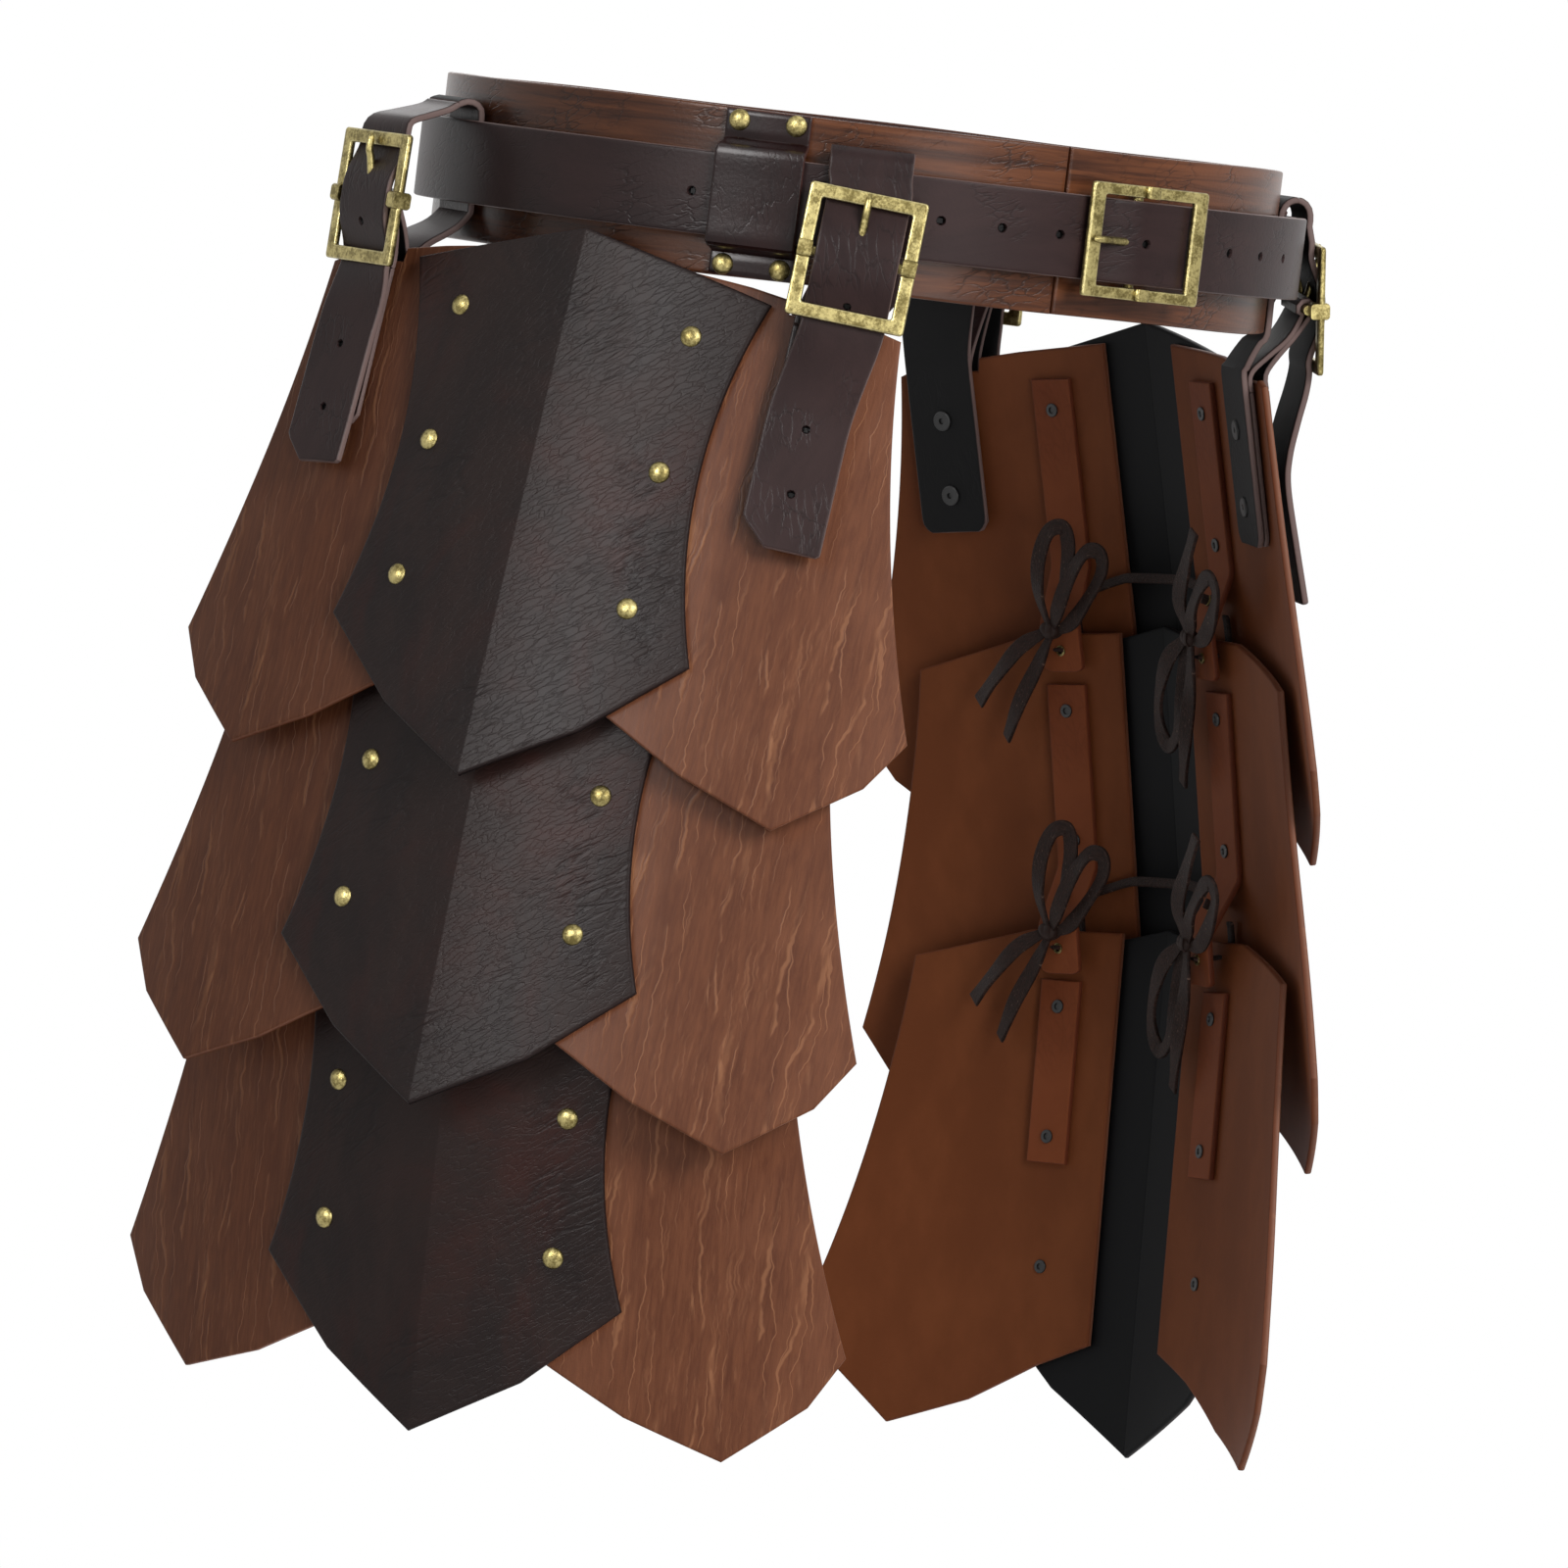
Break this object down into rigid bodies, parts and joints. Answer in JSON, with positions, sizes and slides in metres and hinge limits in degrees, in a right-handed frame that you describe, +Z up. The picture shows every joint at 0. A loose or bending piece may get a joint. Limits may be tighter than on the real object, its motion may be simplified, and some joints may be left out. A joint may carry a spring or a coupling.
{
  "type": "leather armour skirt",
  "caption": "Waist belt with buckled hangers carrying a pair of hinged hip tassets of overlapping laced leather lames.",
  "frame": {"origin": "centre of the waist loop, at half the height of the wide belt", "axes": "+Z up along the waist loop's axis, -Y towards the wearer's front, +X towards the wearer's left hip"},
  "size_m": [0.5012, 0.4043, 0.5836],
  "materials": {
    "belt_leather": "glossy red-brown belt leather with streaks along it",
    "strap_leather": "dark brown strap leather with pale edges",
    "buckle_brass": "antique brass, mottled and darkened",
    "keeper_leather": "glossy dark burgundy leather",
    "rivet_brass": "aged brass rivets and eyelets",
    "dark_leather": "espresso leather with a grey sheen and diagonal creases",
    "side_leather": "red-brown leather with an upright grain, tan on its inner face",
    "tab_leather": "tan strap leather, waxed",
    "lace_leather": "dark crackled flat leather lace",
    "black_rivet": "black enamelled hollow rivets"
  },
  "bodies": {
    "belt": {"wide_belt": "belt_leather", "narrow_belt": "strap_leather", "belt_frame": "buckle_brass", "keepers": "keeper_leather", "belt_rivets": "rivet_brass", "hanger_loops": "strap_leather"},
    "belt_prong": {"belt_prong": "buckle_brass"},
    "right_upper_lame": {"right_upper_ridge_plate": "dark_leather", "right_upper_front_plate": "side_leather", "right_upper_rear_plate": "side_leather", "right_upper_tabs": "tab_leather", "right_upper_rivets": "rivet_brass", "right_upper_laces": "lace_leather", "right_hanger_legs": "strap_leather", "right_hanger_rivets": "black_rivet"},
    "right_middle_lame": {"right_middle_ridge_plate": "dark_leather", "right_middle_front_plate": "side_leather", "right_middle_rear_plate": "side_leather", "right_middle_tabs": "tab_leather", "right_middle_rivets": "rivet_brass", "right_middle_laces": "lace_leather", "right_upper_bows": "lace_leather"},
    "right_lower_lame": {"right_lower_ridge_plate": "dark_leather", "right_lower_front_plate": "side_leather", "right_lower_rear_plate": "side_leather", "right_lower_tabs": "tab_leather", "right_lower_rivets": "rivet_brass", "right_middle_bows": "lace_leather"},
    "right_buckles": {"right_buckle_straps": "strap_leather", "right_buckle_frames": "buckle_brass", "right_buckle_chapes": "strap_leather"},
    "right_front_prong": {"right_front_prong": "buckle_brass"},
    "right_rear_prong": {"right_rear_prong": "buckle_brass"},
    "left_upper_lame": {"left_upper_ridge_plate": "dark_leather", "left_upper_front_plate": "side_leather", "left_upper_rear_plate": "side_leather", "left_upper_tabs": "tab_leather", "left_upper_rivets": "rivet_brass", "left_upper_laces": "lace_leather", "left_hanger_legs": "strap_leather", "left_hanger_rivets": "black_rivet"},
    "left_middle_lame": {"left_middle_ridge_plate": "dark_leather", "left_middle_front_plate": "side_leather", "left_middle_rear_plate": "side_leather", "left_middle_tabs": "tab_leather", "left_middle_rivets": "rivet_brass", "left_middle_laces": "lace_leather", "left_upper_bows": "lace_leather"},
    "left_lower_lame": {"left_lower_ridge_plate": "dark_leather", "left_lower_front_plate": "side_leather", "left_lower_rear_plate": "side_leather", "left_lower_tabs": "tab_leather", "left_lower_rivets": "rivet_brass", "left_middle_bows": "lace_leather"},
    "left_buckles": {"left_buckle_straps": "strap_leather", "left_buckle_frames": "buckle_brass", "left_buckle_chapes": "strap_leather"},
    "left_front_prong": {"left_front_prong": "buckle_brass"},
    "left_rear_prong": {"left_rear_prong": "buckle_brass"}
  },
  "joints": [
    {"name": "belt_prong_hinge", "type": "hinge", "parent": "belt", "child": "belt_prong", "pos_m": [-0.0371, -0.18236, 0], "axis": [0, 0, 1], "range_deg": [0, 25]},
    {"name": "right_tasset_swing", "type": "hinge", "parent": "belt", "child": "right_upper_lame", "pos_m": [-0.15988, -0.0183, 0.01715], "axis": [-0.1397, 0.9898, 0.029], "range_deg": [0, 12]},
    {"name": "right_buckle_swing", "type": "hinge", "parent": "belt", "child": "right_buckles", "pos_m": [-0.15988, -0.0183, 0.01715], "axis": [-0.1397, 0.9898, 0.029], "range_deg": [0, 12]},
    {"name": "right_middle_lame_swing", "type": "hinge", "parent": "right_upper_lame", "child": "right_middle_lame", "pos_m": [-0.20258, -0.01791, -0.16229], "axis": [0.2099, -0.9777, -0.0045], "range_deg": [0, 10]},
    {"name": "right_lower_lame_swing", "type": "hinge", "parent": "right_middle_lame", "child": "right_lower_lame", "pos_m": [-0.21625, -0.02057, -0.29698], "axis": [0.2101, -0.9777, -0.0033], "range_deg": [-6, 10]},
    {"name": "right_front_prong_hinge", "type": "hinge", "parent": "right_buckles", "child": "right_front_prong", "pos_m": [-0.14831, -0.12673, -0.02159], "axis": [0.6322, -0.77, -0.0865], "range_deg": [0, 20]},
    {"name": "right_rear_prong_hinge", "type": "hinge", "parent": "right_buckles", "child": "right_rear_prong", "pos_m": [-0.2002, 0.09427, -0.02125], "axis": [-0.2588, -0.9659, 0], "range_deg": [0, 20]},
    {"name": "left_tasset_swing", "type": "hinge", "parent": "belt", "child": "left_upper_lame", "pos_m": [0.16139, -0.01961, 0.01715], "axis": [-0.1245, -0.9918, -0.0287], "range_deg": [0, 12]},
    {"name": "left_buckle_swing", "type": "hinge", "parent": "belt", "child": "left_buckles", "pos_m": [0.16139, -0.01961, 0.01715], "axis": [-0.1245, -0.9918, -0.0287], "range_deg": [0, 12]},
    {"name": "left_middle_lame_swing", "type": "hinge", "parent": "left_upper_lame", "child": "left_middle_lame", "pos_m": [0.20017, -0.02977, -0.17785], "axis": [0.2284, 0.9702, -0.0804], "range_deg": [0, 10]},
    {"name": "left_lower_lame_swing", "type": "hinge", "parent": "left_middle_lame", "child": "left_lower_lame", "pos_m": [0.21149, -0.04405, -0.31203], "axis": [0.2235, 0.9712, -0.0826], "range_deg": [-6, 10]},
    {"name": "left_front_prong_hinge", "type": "hinge", "parent": "left_buckles", "child": "left_front_prong", "pos_m": [0.15136, -0.12932, -0.02159], "axis": [0.6322, 0.77, 0.0865], "range_deg": [0, 20]},
    {"name": "left_rear_prong_hinge", "type": "hinge", "parent": "left_buckles", "child": "left_rear_prong", "pos_m": [0.2002, 0.09427, -0.02125], "axis": [-0.2588, 0.9659, 0], "range_deg": [0, 20]}
  ],
  "couplings": [
    {"joint": "right_buckle_swing", "follows": "right_tasset_swing", "ratio": 1},
    {"joint": "left_buckle_swing", "follows": "left_tasset_swing", "ratio": 1}
  ]
}
